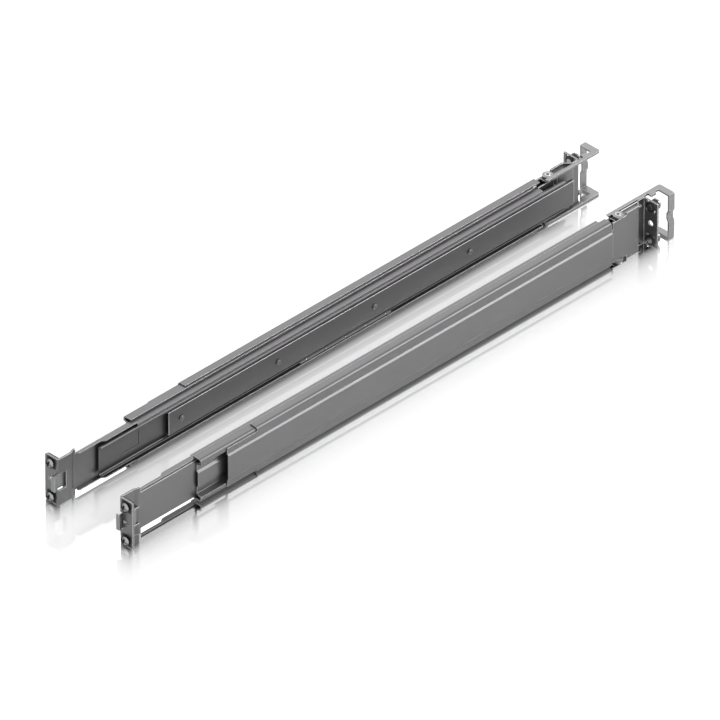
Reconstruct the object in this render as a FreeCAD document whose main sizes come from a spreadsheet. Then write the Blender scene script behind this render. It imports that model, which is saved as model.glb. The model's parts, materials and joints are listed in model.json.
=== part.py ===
import FreeCAD, Part
import math
import os

import Sketcher

# Sliding rail pair for one rack unit, seen from the front of the rack.
# +X runs across from the left rail to the right rail, +Y from the front ears to the rear levers, +Z up.
# The origin lies under the middle of the pair, on the surface that the ears stand on.
# Places on a rail are given as: out, the distance outward from the inner face of the front bracket's web;
# back, the distance behind the front face of the ear; rise, the height above the middle of the rail.

DRIVING_SIZES = [
    # the pair
    ("half_spacing", 33.85),
    ("rail_height", 43.6),
    ("hole_pitch", 15.875),
    # front bracket
    ("bracket_sheet", 1.5),
    ("ear_width", 14.6),
    ("ear_corner", 1.6),
    ("bend_radius", 1.6),
    ("joggle_out", 1.6),
    ("joggle_start", 14.4),
    ("joggle_run", 3.6),
    ("tongue_end", 150.0),
    ("full_web_end", 20.0),
    ("hook_window_depth", 8.6),
    ("ear_slot_length", 5.6),
    ("ear_slot_width", 2.4),
    # front screws and bushings
    ("screw_out", 7.7),
    ("screw_radius", 2.5),
    ("head_radius", 4.5),
    ("head_land", 1.2),
    ("head_crown", 1.5),
    ("screw_length", 7.0),
    ("recess_width", 1.1),
    ("recess_length", 4.6),
    ("recess_depth", 1.2),
    ("bushing_side", 9.2),
    ("bushing_front", 0.5),
    ("bushing_flange", 1.5),
    ("bushing_lip", 0.9),
    # front channel
    ("channel_sheet", 1.2),
    ("channel_front", 80.0),
    ("channel_end", 525.0),
    ("channel_lip_out", 0.3),
    ("channel_lip_drop", 1.75),
    ("channel_lip_gap", 0.4),
    ("channel_corner", 2.8),
    ("race_wall", 4.8),
    ("race_slope", 1.8),
    ("band_step", 7.2),
    ("channel_band_raise", 1.6),
    # outer channel
    ("outer_front", 107.4),
    ("outer_flange_front", 140.5),
    ("outer_overhang", 8.4),
    ("outer_lip_out", 2.05),
    ("outer_face_out", 11.6),
    ("outer_band_raise", 1.2),
    ("outer_band_drop", 9.95),
    ("outer_slope", 1.3),
    ("outer_corner", 3.2),
    # telescopic slide
    ("slide_gap", 0.3),
    ("middle_sheet", 0.8),
    ("middle_front", 43.0),
    ("middle_end", 556.0),
    ("race_radius", 1.35),
    ("race_rise", 12.15),
    ("fixed_sheet", 0.9),
    ("fixed_front", 82.0),
    ("fixed_overhang", 5.0),
    ("arm_front", 21.5),
    ("arm_step", 45.5),
    ("arm_reach", 0.9),
    ("arm_full_reach", 3.3),
    ("fixed_lip_drop", 1.1),
    ("inner_sheet", 0.9),
    ("inner_front", 115.4),
    ("inner_end", 565.0),
    ("inner_height", 22.0),
    ("inner_web_out", 5.1),
    ("inner_depth", 3.1),
    ("outer_ball_radius", 1.3),
    ("inner_ball_radius", 1.15),
    ("ball_clearance", 0.06),
    ("cage_sheet", 0.4),
    ("ball_pitch", 22.0),
    ("outer_cage_front", 262.0),
    ("inner_cage_front", 250.0),
    ("cage_margin", 6.0),
    ("stud_pitch", 106.3),
    ("stud_first", 129.2),
    ("stud_radius", 2.4),
    ("stud_height", 1.3),
    ("stud_shank_radius", 1.5),
    ("rivet_radius", 1.6),
    ("rivet_head_radius", 2.5),
    ("rivet_head_height", 0.8),
    ("rivet_rise", 10.8),
    ("rivet_first", 116.0),
    ("rivet_clearance", 0.1),
    # rear bracket
    ("rear_sheet", 1.4),
    ("arm_clearance", 0.3),
    ("rear_arm_front", 150.0),
    ("rear_web_gap", 2.6),
    ("rear_web_length", 29.0),
    ("rear_inset", 0.5),
    ("rear_flange_width", 14.8),
    ("rear_joggle_in", 5.5),
    ("rear_joggle_run", 5.0),
    ("rear_neck_length", 8.0),
    # rear lever
    ("lever_sheet", 1.8),
    ("lever_lug_radius", 4.4),
    ("pivot_out", 5.05),
    ("pivot_inset", 9.4),
    ("pin_radius", 1.8),
    ("lever_strip_out", 1.6),
    ("lever_strip_width", 2.8),
    ("lever_step", 1.8),
    ("lever_front_reach", 6.5),
    ("lever_bar_width", 6.0),
    ("lever_bar_out", 15.6),
    ("lever_bar_kink", 1.5),
    ("finger_gap", 11.0),
    ("tab_gap", 0.4),
    ("tab_length", 12.0),
    ("tooth_gap", 4.6),
    ("tooth_width", 5.0),
    ("tooth_reach", 4.0),
    ("spring_wire", 0.4),
    # front hook
    ("hook_sheet", 1.2),
    ("hook_gap", 0.5),
    ("window_gap", 0.5),
    ("hook_reach", 4.0),
    ("hook_head_height", 14.4),
    ("hook_head_width", 3.6),
    ("hook_neck_height", 13.4),
    ("hook_pivot_back", 10.8),
    ("hook_pivot_out", 4.4),
    ("hook_knuckle_radius", 2.2),
    ("hook_pin_radius", 1.0),
    ("running_clearance", 0.05),
    ("hook_lug_sheet", 1.2),
]
OUTER_BALLS = 5
INNER_BALLS = 5
STUDS = 4
RIVETS = 4
NODE_LIMIT = 60

doc = FreeCAD.newDocument("ServerRailPair")
sheet = doc.addObject("Spreadsheet::Sheet", "Sizes")


class Size:
    """A length that carries its number and the sheet expression that gives it."""

    def __init__(self, value, text):
        self.value = float(value)
        self.text = text

    def __add__(self, other):
        other = as_size(other)
        return Size(self.value + other.value, f"({self.text} + {other.text})")

    def __sub__(self, other):
        other = as_size(other)
        return Size(self.value - other.value, f"({self.text} - {other.text})")

    def __mul__(self, factor):
        factor = as_size(factor)
        return Size(self.value * factor.value, f"({self.text} * {factor.text})")

    def __truediv__(self, divisor):
        divisor = as_size(divisor)
        return Size(self.value / divisor.value, f"({self.text} / {divisor.text})")

    def __neg__(self):
        return Size(-self.value, f"(0 - {self.text})")

    def __radd__(self, other):
        return as_size(other) + self

    def __rsub__(self, other):
        return as_size(other) - self


def as_size(number):
    if isinstance(number, Size):
        return number
    return Size(number, repr(float(number)))


class Sizes:
    """The sheet's cells as Size values."""


size = Sizes()
for row, (alias, number) in enumerate(DRIVING_SIZES, start=1):
    sheet.set(f"A{row}", alias.replace("_", " "))
    sheet.set(f"B{row}", str(number))
    sheet.setAlias(f"B{row}", alias)
    setattr(size, alias, Size(number, f"Sizes.{alias}"))
doc.recompute()

# Places that follow from the driving sizes
head_height = size.head_land + size.head_crown
outer_end = size.channel_end + size.outer_overhang
fixed_end = size.channel_end + size.fixed_overhang
rear_web_front = outer_end + size.rear_web_gap
pivot_back = rear_web_front + size.pivot_inset
rear_joggle_start = rear_web_front + size.rear_web_length
rear_joggle_end = rear_joggle_start + size.rear_joggle_run
rear_face = rear_joggle_end + size.rear_neck_length
tooth_front = rear_face + size.tooth_gap
lever_end = tooth_front + size.tooth_width + size.finger_gap
middle_back = (lever_end - size.hook_reach) / 2
middle_height = size.rail_height / 2
tongue_out = size.joggle_out
tongue_face = size.joggle_out + size.bracket_sheet
fixed_face = tongue_out - size.fixed_sheet
cage_web_out = fixed_face - size.slide_gap
middle_back_out = -size.slide_gap
race_outer = size.race_radius + size.middle_sheet
race_out = middle_back_out - race_outer
middle_face = middle_back_out - size.middle_sheet
middle_top = size.race_rise + race_outer
outer_ball_rise = middle_top + size.ball_clearance + size.outer_ball_radius
fixed_inside = outer_ball_rise + size.outer_ball_radius + size.ball_clearance
fixed_top = fixed_inside + size.fixed_sheet
fixed_lip_out = race_out - size.outer_ball_radius - size.slide_gap
channel_top = fixed_top + size.channel_lip_gap + size.channel_lip_drop
channel_race_rise = channel_top - size.race_wall
channel_flat_rise = channel_race_rise - size.race_slope
channel_band_rise = channel_flat_rise - size.band_step
channel_web = tongue_face
channel_web_face = channel_web + size.channel_sheet
channel_band_face = channel_web_face + size.channel_band_raise
outer_flat_face = size.outer_face_out - size.outer_band_raise
channel_corner_out = outer_flat_face - size.channel_sheet
outer_top = channel_top + size.channel_sheet
outer_band_rise = outer_top - size.outer_band_drop
rear_arm_out = channel_corner_out - size.arm_clearance - size.rear_sheet
rear_web_out = rear_arm_out - size.rear_joggle_in
rear_top = middle_height - size.rear_inset
rear_arm_rise = outer_band_rise + size.outer_slope
lever_top_rise = rear_top
lever_bottom_rise = lever_top_rise - size.lever_sheet
tab_top_rise = lever_bottom_rise - size.tab_gap


def across(out):
    """X of a place on the right rail, from its distance outward."""
    return size.half_spacing + out


def along(back):
    """Y of a place, from its distance behind the ear's front face."""
    return as_size(back) - middle_back


def up(rise):
    """Z of a place, from its height above the rail's middle."""
    return middle_height + rise


def new_body(name):
    body = doc.addObject("PartDesign::Body", name)
    body.Label = name
    return body


def new_sketch(body, name, role, offset):
    """A sketch on one of the body's own origin planes, moved along the plane's normal by offset."""
    sketch = body.newObject("Sketcher::SketchObject", name)
    plane = [feature for feature in body.Origin.OriginFeatures if feature.Role == role][0]
    sketch.AttachmentSupport = [(plane, "")]
    sketch.MapMode = "FlatFace"
    sketch.setExpression(".AttachmentOffset.Base.z", as_size(offset).text)
    return sketch


def draw_outline(sketch, points):
    """A closed outline of straight lines, each corner held by two lengths from the sketch's origin."""
    points = [(as_size(across_sketch), as_size(up_sketch)) for across_sketch, up_sketch in points]
    corners = [FreeCAD.Vector(first.value, second.value, 0) for first, second in points]
    count = len(corners)
    first_line = sketch.GeometryCount
    lines = [Part.LineSegment(corners[index], corners[(index + 1) % count]) for index in range(count)]
    sketch.addGeometry(lines, False)
    constraints = []
    for index in range(count):
        line = first_line + index
        following = first_line + (index + 1) % count
        constraints.append(Sketcher.Constraint("Coincident", line, 2, following, 1))
    first_length = len(sketch.Constraints) + count
    for index in range(count):
        line = first_line + index
        constraints.append(Sketcher.Constraint("DistanceX", -1, 1, line, 1, corners[index].x))
        constraints.append(Sketcher.Constraint("DistanceY", -1, 1, line, 1, corners[index].y))
    sketch.addConstraint(constraints)
    for index, (first, second) in enumerate(points):
        sketch.setExpression(f"Constraints[{first_length + 2 * index}]", first.text)
        sketch.setExpression(f"Constraints[{first_length + 2 * index + 1}]", second.text)


def draw_circle(sketch, first, second, radius):
    """A circle held by its centre's two lengths and its radius."""
    first = as_size(first)
    second = as_size(second)
    circle = sketch.addGeometry(Part.Circle(FreeCAD.Vector(first.value, second.value, 0),
                                            FreeCAD.Vector(0, 0, 1), radius.value), False)
    start = len(sketch.Constraints)
    sketch.addConstraint([Sketcher.Constraint("DistanceX", -1, 1, circle, 3, first.value),
                          Sketcher.Constraint("DistanceY", -1, 1, circle, 3, second.value),
                          Sketcher.Constraint("Radius", circle, radius.value)])
    for index, length in enumerate((first, second, radius)):
        sketch.setExpression(f"Constraints[{start + index}]", length.text)


def rectangle(low_first, high_first, low_second, high_second):
    return [(low_first, low_second), (high_first, low_second), (high_first, high_second), (low_first, high_second)]


def pad(body, sketch, length, backwards=False):
    feature = body.newObject("PartDesign::Pad", sketch.Name + "Pad")
    feature.Profile = sketch
    feature.setExpression("Length", as_size(length).text)
    feature.Reversed = backwards
    sketch.Visibility = False
    doc.recompute()
    return feature


def pocket(body, sketch, length, backwards=False):
    """A pocket that has to take something away."""
    before = body.Shape.Volume
    feature = body.newObject("PartDesign::Pocket", sketch.Name + "Pocket")
    feature.Profile = sketch
    feature.setExpression("Length", as_size(length).text)
    feature.Reversed = backwards
    doc.recompute()
    if not body.Shape.Volume < before:
        raise RuntimeError(f"{sketch.Name} cuts nothing")
    return feature


def round_edges(body, radius, axis, places):
    """Rounds the edges that run along axis through the given places, each a pair of sizes in the two other axes."""
    if not places:
        return None
    shape = body.Shape
    names = []
    for number, edge in enumerate(shape.Edges, start=1):
        ends = [vertex.Point for vertex in edge.Vertexes]
        if len(ends) != 2:
            continue
        others = [[point[index] for index in range(3) if index != axis] for point in ends]
        for first, second in places:
            wanted = (as_size(first).value, as_size(second).value)
            if all(math.dist(pair, wanted) < 1e-4 for pair in others):
                names.append(f"Edge{number}")
                break
    if not names:
        raise RuntimeError(f"{body.Name} has no edge to round")
    rounded = body.Tip
    feature = body.newObject("PartDesign::Fillet", body.Name + "Fillet")
    feature.Base = (rounded, names)
    feature.setExpression("Radius", radius.text)
    doc.recompute()
    return feature


def mirrored(half):
    """The whole outline of a section that is the same above and below the rail's middle."""
    below = [(out, -as_size(rise)) for out, rise in reversed(half)]
    return half + below


def rolled_section(name, half, front, end):
    """A rolled channel: its section, given as upper half in out and rise, carried from front to end."""
    body = new_body(name)
    sketch = new_sketch(body, name + "_section", "XZ_Plane", -along(front))
    draw_outline(sketch, [(across(out), up(rise)) for out, rise in mirrored(half)])
    pad(body, sketch, as_size(end) - front, backwards=True)
    return body


def section_corners(half, picks):
    """Places in X and Z of chosen corners of a section and their mirror images below."""
    places = []
    for pick in picks:
        out, rise = half[pick]
        places.append((across(out), up(rise)))
        places.append((across(out), up(-as_size(rise))))
    return places


def side_cut(body, name, out, depth, back_low, back_high, rise_low, rise_high):
    """Takes away a block, seen from the side as a rectangle, from out outward by depth."""
    sketch = new_sketch(body, name, "YZ_Plane", across(out))
    draw_outline(sketch, rectangle(along(back_low), along(back_high), up(rise_low), up(rise_high)))
    return pocket(body, sketch, depth, backwards=True)


def side_holes(body, name, out, depth, radius, places):
    """Round holes through a web, at places given as back and rise."""
    sketch = new_sketch(body, name, "YZ_Plane", across(out))
    for back, rise in places:
        draw_circle(sketch, along(back), up(rise), radius)
    return pocket(body, sketch, depth, backwards=True)


def group(name, pieces):
    """Separate like pieces in one node."""
    compound = doc.addObject("Part::Compound", name)
    compound.Label = name
    compound.Links = pieces
    return compound


def turned(name, axis_role, profile, centre, direction):
    """A turned piece: a profile of radius and length, revolved and laid along direction from centre."""
    body = new_body(name)
    sketch = new_sketch(body, name + "_profile", axis_role, 0)
    draw_outline(sketch, profile)
    feature = body.newObject("PartDesign::Revolution", name + "_turn")
    feature.Profile = sketch
    feature.ReferenceAxis = (sketch, ["V_Axis"])
    feature.Angle = 360.0
    doc.recompute()
    turn = FreeCAD.Rotation(FreeCAD.Vector(0, 0, 1), FreeCAD.Vector(*direction))
    body.Placement = FreeCAD.Placement(FreeCAD.Vector(0, 0, 0), turn)
    for letter, length in zip("xyz", centre):
        body.setExpression(f".Placement.Base.{letter}", as_size(length).text)
    doc.recompute()
    return body


# Front bracket
# One bent sheet: the ear across, the web back from it, a joggle outward and the tongue that the channel is
# riveted to. The hook reaches forward through a window at the bend.

def ear_hole_places():
    return [(size.screw_out, size.hole_pitch), (size.screw_out, -size.hole_pitch)]


def make_front_bracket():
    body = new_body("right_front_bracket")
    plan = new_sketch(body, "front_bracket_plan", "XY_Plane", 0)
    joggle_end = size.joggle_start + size.joggle_run
    draw_outline(plan, [
        (across(0), along(0)),
        (across(size.ear_width), along(0)),
        (across(size.ear_width), along(size.bracket_sheet)),
        (across(size.bracket_sheet), along(size.bracket_sheet)),
        (across(size.bracket_sheet), along(size.joggle_start)),
        (across(tongue_face), along(joggle_end)),
        (across(tongue_face), along(size.tongue_end)),
        (across(tongue_out), along(size.tongue_end)),
        (across(tongue_out), along(joggle_end)),
        (across(0), along(size.joggle_start)),
    ])
    pad(body, plan, size.rail_height)
    round_edges(body, size.bend_radius, 2, [(across(0), along(0))])
    # the tongue is lower than the ear
    tongue_top = fixed_inside
    sketch = new_sketch(body, "tongue_edges", "YZ_Plane", across(tongue_face))
    for low, high in ((tongue_top, middle_height), (-middle_height, -tongue_top)):
        draw_outline(sketch, rectangle(along(size.full_web_end), along(size.tongue_end), up(low), up(high)))
    pocket(body, sketch, size.bracket_sheet + size.joggle_out)
    # square holes for the bushings
    sketch = new_sketch(body, "ear_holes", "XZ_Plane", -along(0))
    half = size.bushing_side / 2 + size.rivet_clearance
    for out, rise in ear_hole_places():
        draw_outline(sketch, rectangle(across(out - half), across(out + half), up(rise - half), up(rise + half)))
    slot = size.ear_slot_length / 2
    slot_half = size.ear_slot_width / 2
    draw_outline(sketch, rectangle(across(size.screw_out - slot), across(size.screw_out + slot),
                                   up(-slot_half), up(slot_half)))
    pocket(body, sketch, size.bracket_sheet)
    # window for the hook, through the bend
    window = size.hook_head_height / 2 + size.window_gap
    window_out = size.bracket_sheet + size.hook_gap * 2 + size.hook_sheet
    sketch = new_sketch(body, "hook_window", "XZ_Plane", -along(0))
    draw_outline(sketch, rectangle(across(0), across(window_out), up(-window), up(window)))
    pocket(body, sketch, size.hook_window_depth)
    # lugs that carry the hook's pivot
    lug_inner = size.hook_neck_height / 2 + size.hook_gap
    lug_half = size.hook_knuckle_radius + size.hook_gap
    for name, low in (("upper_lug", lug_inner), ("lower_lug", -lug_inner - size.hook_lug_sheet)):
        sketch = new_sketch(body, name, "XY_Plane", up(low))
        draw_outline(sketch, rectangle(across(size.bracket_sheet / 2), across(size.hook_pivot_out + lug_half),
                                       along(size.hook_pivot_back - lug_half),
                                       along(size.joggle_start)))
        pad(body, sketch, size.hook_lug_sheet)
    sketch = new_sketch(body, "lug_holes", "XY_Plane", up(-middle_height))
    draw_circle(sketch, across(size.hook_pivot_out), along(size.hook_pivot_back),
                size.hook_pin_radius + size.running_clearance)
    pocket(body, sketch, size.rail_height, backwards=True)
    side_holes(body, "tongue_rivet_holes", tongue_out, size.bracket_sheet,
               size.rivet_radius + size.rivet_clearance,
               [(size.rivet_first, size.rivet_rise), (size.rivet_first, -size.rivet_rise)])
    round_edges(body, size.ear_corner, 1, [(across(size.ear_width), up(middle_height)),
                                           (across(size.ear_width), up(-middle_height))])
    return body


def make_bushing(name, out, rise, front, direction):
    """A square bushing whose block stands in the sheet's hole and whose flange lies behind the sheet."""
    half = size.bushing_side / 2
    body = new_body(name)
    sketch = new_sketch(body, name + "_block", "XZ_Plane", -along(front))
    draw_outline(sketch, rectangle(across(out - half), across(out + half), up(rise - half), up(rise + half)))
    length = size.bushing_front + size.bracket_sheet
    pad(body, sketch, length, backwards=direction > 0)
    flange_back = as_size(front) + length * direction
    sketch = new_sketch(body, name + "_flange", "XZ_Plane", -along(flange_back))
    half = size.bushing_side / 2 + size.bushing_lip
    draw_outline(sketch, rectangle(across(out - half), across(out + half), up(rise - half), up(rise + half)))
    pad(body, sketch, size.bushing_flange, backwards=direction > 0)
    sketch = new_sketch(body, name + "_bore", "XZ_Plane", -along(front))
    draw_circle(sketch, across(out), up(rise), size.screw_radius + size.running_clearance)
    pocket(body, sketch, length + size.bushing_flange, backwards=direction < 0)
    return body


def make_screw(name, out, rise, seat, direction):
    """A round-headed screw with a cross recess: the head's seat is at back = seat, the head points forward
    for direction -1 and rearward for direction +1."""
    body = new_body(name)
    sketch = new_sketch(body, name + "_profile", "XZ_Plane", 0)
    draw_outline(sketch, [
        (0, -size.screw_length),
        (size.screw_radius, -size.screw_length),
        (size.screw_radius, 0),
        (size.head_radius, 0),
        (size.head_radius, size.head_land),
        (size.head_radius * 0.8, size.head_land + size.head_crown * 0.7),
        (size.head_radius * 0.45, head_height),
        (0, head_height),
    ])
    feature = body.newObject("PartDesign::Revolution", name + "_turn")
    feature.Profile = sketch
    feature.ReferenceAxis = (sketch, ["V_Axis"])
    feature.Angle = 360.0
    doc.recompute()
    half_width = size.recess_width / 2
    half_length = size.recess_length / 2
    for cut, half_x, half_y in (("recess_one", half_length, half_width), ("recess_two", half_width, half_length)):
        recess = new_sketch(body, name + "_" + cut, "XY_Plane", head_height)
        draw_outline(recess, rectangle(-half_x, half_x, -half_y, half_y))
        pocket(body, recess, size.recess_depth)
    turn = FreeCAD.Rotation(FreeCAD.Vector(0, 0, 1), FreeCAD.Vector(0, direction, 0))
    body.Placement = FreeCAD.Placement(FreeCAD.Vector(0, 0, 0), turn)
    for letter, length in zip("xyz", (across(out), along(seat), up(rise))):
        body.setExpression(f".Placement.Base.{letter}", length.text)
    doc.recompute()
    return body


def make_front_fasteners():
    bushings = []
    screws = []
    for number, (out, rise) in enumerate(ear_hole_places(), start=1):
        bushings.append(make_bushing(f"front_bushing_{number}", out, rise, -size.bushing_front, 1))
        screws.append(make_screw(f"front_screw_{number}", out, rise, -size.bushing_front, -1))
    return [group("right_front_bushings", bushings), group("right_front_screws", screws)]


# Front hook
# A flat lever on an upright pin behind the ear. Its T-shaped head stands in front of the ear and catches the
# edge of the rack post.

def make_front_hook():
    body = new_body("right_front_hook")
    shank_in = size.bracket_sheet + size.hook_gap
    shank_out = shank_in + size.hook_sheet
    neck = size.hook_neck_height / 2
    head = size.hook_head_height / 2
    sketch = new_sketch(body, "hook_side", "YZ_Plane", across(shank_in))
    draw_outline(sketch, [
        (along(-size.hook_reach), up(-head)),
        (along(-size.hook_reach + size.hook_sheet), up(-head)),
        (along(-size.hook_reach + size.hook_sheet), up(-neck)),
        (along(size.hook_pivot_back), up(-neck)),
        (along(size.hook_pivot_back), up(neck)),
        (along(-size.hook_reach + size.hook_sheet), up(neck)),
        (along(-size.hook_reach + size.hook_sheet), up(head)),
        (along(-size.hook_reach), up(head)),
    ])
    pad(body, sketch, size.hook_sheet)
    sketch = new_sketch(body, "hook_head", "XY_Plane", up(-head))
    draw_outline(sketch, rectangle(across(size.slide_gap), across(size.slide_gap + size.hook_head_width),
                                   along(-size.hook_reach), along(-size.hook_reach + size.hook_sheet)))
    pad(body, sketch, size.hook_head_height)
    sketch = new_sketch(body, "hook_knuckle", "XY_Plane", up(-neck))
    draw_circle(sketch, across(size.hook_pivot_out), along(size.hook_pivot_back), size.hook_knuckle_radius)
    pad(body, sketch, size.hook_neck_height)
    sketch = new_sketch(body, "hook_bore", "XY_Plane", up(-neck))
    draw_circle(sketch, across(size.hook_pivot_out), along(size.hook_pivot_back),
                size.hook_pin_radius + size.running_clearance)
    pocket(body, sketch, size.hook_neck_height, backwards=True)
    return body


def make_cylinder(name, radius, length, centre):
    """An upright round pin, its lower end at centre."""
    pin = doc.addObject("Part::Cylinder", name)
    pin.Label = name
    pin.setExpression("Radius", radius.text)
    pin.setExpression("Height", length.text)
    for letter, place in zip("xyz", centre):
        pin.setExpression(f".Placement.Base.{letter}", as_size(place).text)
    return pin


def make_front_hook_pin():
    half = size.hook_neck_height / 2 + size.hook_gap + size.hook_lug_sheet + size.hook_gap
    return make_cylinder("right_front_hook_pin", size.hook_pin_radius, half * 2,
                         (across(size.hook_pivot_out), along(size.hook_pivot_back), up(-half)))


def wire_spring(name, out, back, rise, coil_radius, legs):
    """A hairpin of round wire: an arc round the pin and one straight leg from each of its ends."""
    centre = FreeCAD.Vector(across(out).value, along(back).value, up(rise).value)
    first_angle, first_leg, second_angle, second_leg = legs

    def on_coil(angle):
        return centre + FreeCAD.Vector(math.cos(angle), math.sin(angle), 0) * coil_radius.value

    def tangent(angle):
        return FreeCAD.Vector(-math.sin(angle), math.cos(angle), 0)

    start = math.radians(first_angle)
    finish = math.radians(second_angle)
    arc = Part.Arc(on_coil(start), on_coil((start + finish) / 2), on_coil(finish)).toShape()
    first = Part.LineSegment(on_coil(start) - tangent(start) * first_leg.value, on_coil(start)).toShape()
    second = Part.LineSegment(on_coil(finish), on_coil(finish) + tangent(finish) * second_leg.value).toShape()
    path = Part.Wire([first, arc, second])
    circle = Part.Wire(Part.makeCircle(size.spring_wire.value, path.Edges[0].firstVertex().Point, tangent(start)))
    spring = doc.addObject("Part::Feature", name)
    spring.Label = name
    spring.Shape = path.makePipeShell([circle], True, False)
    return spring


def make_front_hook_spring():
    rise = size.hook_neck_height / 2 + size.hook_gap + size.hook_lug_sheet + size.spring_wire + size.slide_gap / 2
    coil = size.hook_pin_radius + size.spring_wire + size.running_clearance * 2
    return wire_spring("right_front_hook_spring", size.hook_pivot_out, size.hook_pivot_back, -rise, coil,
                       (-60.0, size.hook_knuckle_radius, 225.0, size.hook_knuckle_radius * 2))


# Channels
# The front channel is riveted behind the bracket. The outer channel lies over it.

def channel_half_section():
    """Upper half: from the raised band outward to the race corner, over the flange to its lip and back."""
    wall = size.channel_sheet
    slope = size.channel_sheet * 1.2
    return [
        (channel_band_face, channel_band_rise),
        (channel_web_face, channel_band_rise + slope),
        (channel_web_face, channel_flat_rise),
        (channel_corner_out, channel_race_rise),
        (channel_corner_out, channel_top),
        (size.channel_lip_out, channel_top),
        (size.channel_lip_out, channel_top - size.channel_lip_drop),
        (size.channel_lip_out + wall, channel_top - size.channel_lip_drop),
        (size.channel_lip_out + wall, channel_top - wall),
        (channel_corner_out - wall, channel_top - wall),
        (channel_corner_out - wall, channel_race_rise + wall),
        (channel_web, channel_flat_rise + wall),
        (channel_web, channel_band_rise + slope),
        (channel_band_face - wall, channel_band_rise),
    ]


def rivet_backs():
    """The rivets are spread evenly from the first to the end of the channel."""
    last = size.channel_end - size.rivet_head_radius * 4
    return [size.rivet_first + (last - size.rivet_first) * index / (RIVETS - 1) for index in range(RIVETS)]


def rivet_places():
    return [(back, rise) for back in rivet_backs() for rise in (size.rivet_rise, -size.rivet_rise)]


def make_front_channel():
    half = channel_half_section()
    body = rolled_section("right_front_channel", half, size.channel_front, size.channel_end)
    round_edges(body, size.channel_corner, 1, section_corners(half, [4]))
    round_edges(body, size.channel_corner - size.channel_sheet, 1, section_corners(half, [9]))
    side_holes(body, "channel_rivet_holes", channel_web, size.channel_sheet,
               size.rivet_radius + size.rivet_clearance, rivet_places())
    return body


def outer_half_section():
    """Upper half: from the raised band up to the flange, inward to its edge and back along the inside."""
    wall = size.channel_sheet
    band_top = outer_band_rise
    shoulder = outer_band_rise + size.outer_slope
    inside = size.outer_slope * 0.3
    return [
        (size.outer_face_out, band_top),
        (outer_flat_face, shoulder),
        (outer_flat_face, outer_top),
        (size.outer_lip_out, outer_top),
        (size.outer_lip_out, outer_top - wall),
        (outer_flat_face - wall, outer_top - wall),
        (outer_flat_face - wall, shoulder - inside),
        (size.outer_face_out - wall, band_top - inside),
    ]


def make_outer_channel():
    half = outer_half_section()
    body = rolled_section("right_outer_channel", half, size.outer_front, outer_end)
    round_edges(body, size.outer_corner, 1, section_corners(half, [2]))
    round_edges(body, size.outer_corner - size.channel_sheet, 1, section_corners(half, [5]))
    # the flanges start further back than the raised band
    clear = size.outer_corner
    sketch = new_sketch(body, "flange_relief", "YZ_Plane", across(size.outer_lip_out))
    for low, high in ((outer_top - clear, outer_top), (-outer_top, clear - outer_top)):
        draw_outline(sketch, rectangle(along(size.outer_front), along(size.outer_flange_front), up(low), up(high)))
    pocket(body, sketch, size.outer_face_out - size.outer_lip_out, backwards=True)
    return body


# Telescopic slide
# A fixed race riveted to the front bracket and channel, a middle member with rolled races that open towards
# the server, and an inner member between those races. Balls run between them in two cages.

def make_fixed_member():
    wall = size.fixed_sheet
    half = [
        (tongue_out, fixed_top),
        (fixed_lip_out - wall, fixed_top),
        (fixed_lip_out - wall, fixed_inside - size.fixed_lip_drop),
        (fixed_lip_out, fixed_inside - size.fixed_lip_drop),
        (fixed_lip_out, fixed_inside),
        (fixed_face, fixed_inside),
    ]
    body = rolled_section("right_slide_fixed_member", half, size.fixed_front, fixed_end)
    round_edges(body, size.fixed_sheet, 1, section_corners(half, [0, 1]))
    side_holes(body, "fixed_rivet_holes", fixed_face, size.fixed_sheet,
               size.rivet_radius + size.rivet_clearance, rivet_places())
    # the flanges run forward as arms that step in towards the front
    corner = size.arm_reach
    for name, low in (("upper_arms", fixed_inside), ("lower_arms", -fixed_top)):
        sketch = new_sketch(body, name, "XY_Plane", up(low))
        draw_outline(sketch, [
            (across(tongue_out), along(size.arm_front)),
            (across(corner - size.arm_reach), along(size.arm_front)),
            (across(-size.arm_reach), along(size.arm_front + corner)),
            (across(-size.arm_reach), along(size.arm_step)),
            (across(-size.arm_full_reach), along(size.arm_step + size.arm_full_reach)),
            (across(-size.arm_full_reach), along(size.fixed_front + size.fixed_sheet)),
            (across(tongue_out), along(size.fixed_front + size.fixed_sheet)),
        ])
        pad(body, sketch, size.fixed_sheet)
    return body


def race_points(radius, first, last, steps):
    """Points on the race's arc, from angle first to last in degrees, as out and rise."""
    points = []
    for index in range(steps + 1):
        angle = math.radians(first + (last - first) * index / steps)
        points.append((race_out + radius * math.cos(angle), size.race_rise + radius * math.sin(angle)))
    return points


def make_middle_member():
    steps = 6
    outside = race_points(race_outer, 0.0, 180.0, steps)
    inside = race_points(size.race_radius, 180.0, 0.0, steps)
    half = outside + inside
    body = rolled_section("right_slide_middle_member", half, size.middle_front, size.middle_end)
    # stop tongue: an L-shaped slit in the web near the front
    slit = size.middle_sheet
    tongue_back = size.middle_front + size.middle_front
    side_cut(body, "tongue_slit_upright", middle_face, size.middle_sheet, tongue_back, tongue_back + slit,
             -size.race_rise / 2, size.race_rise * 0.6)
    side_cut(body, "tongue_slit_level", middle_face, size.middle_sheet,
             tongue_back - size.middle_front * 0.4, tongue_back, -size.race_rise / 2, -size.race_rise / 2 + slit)
    return body


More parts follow.
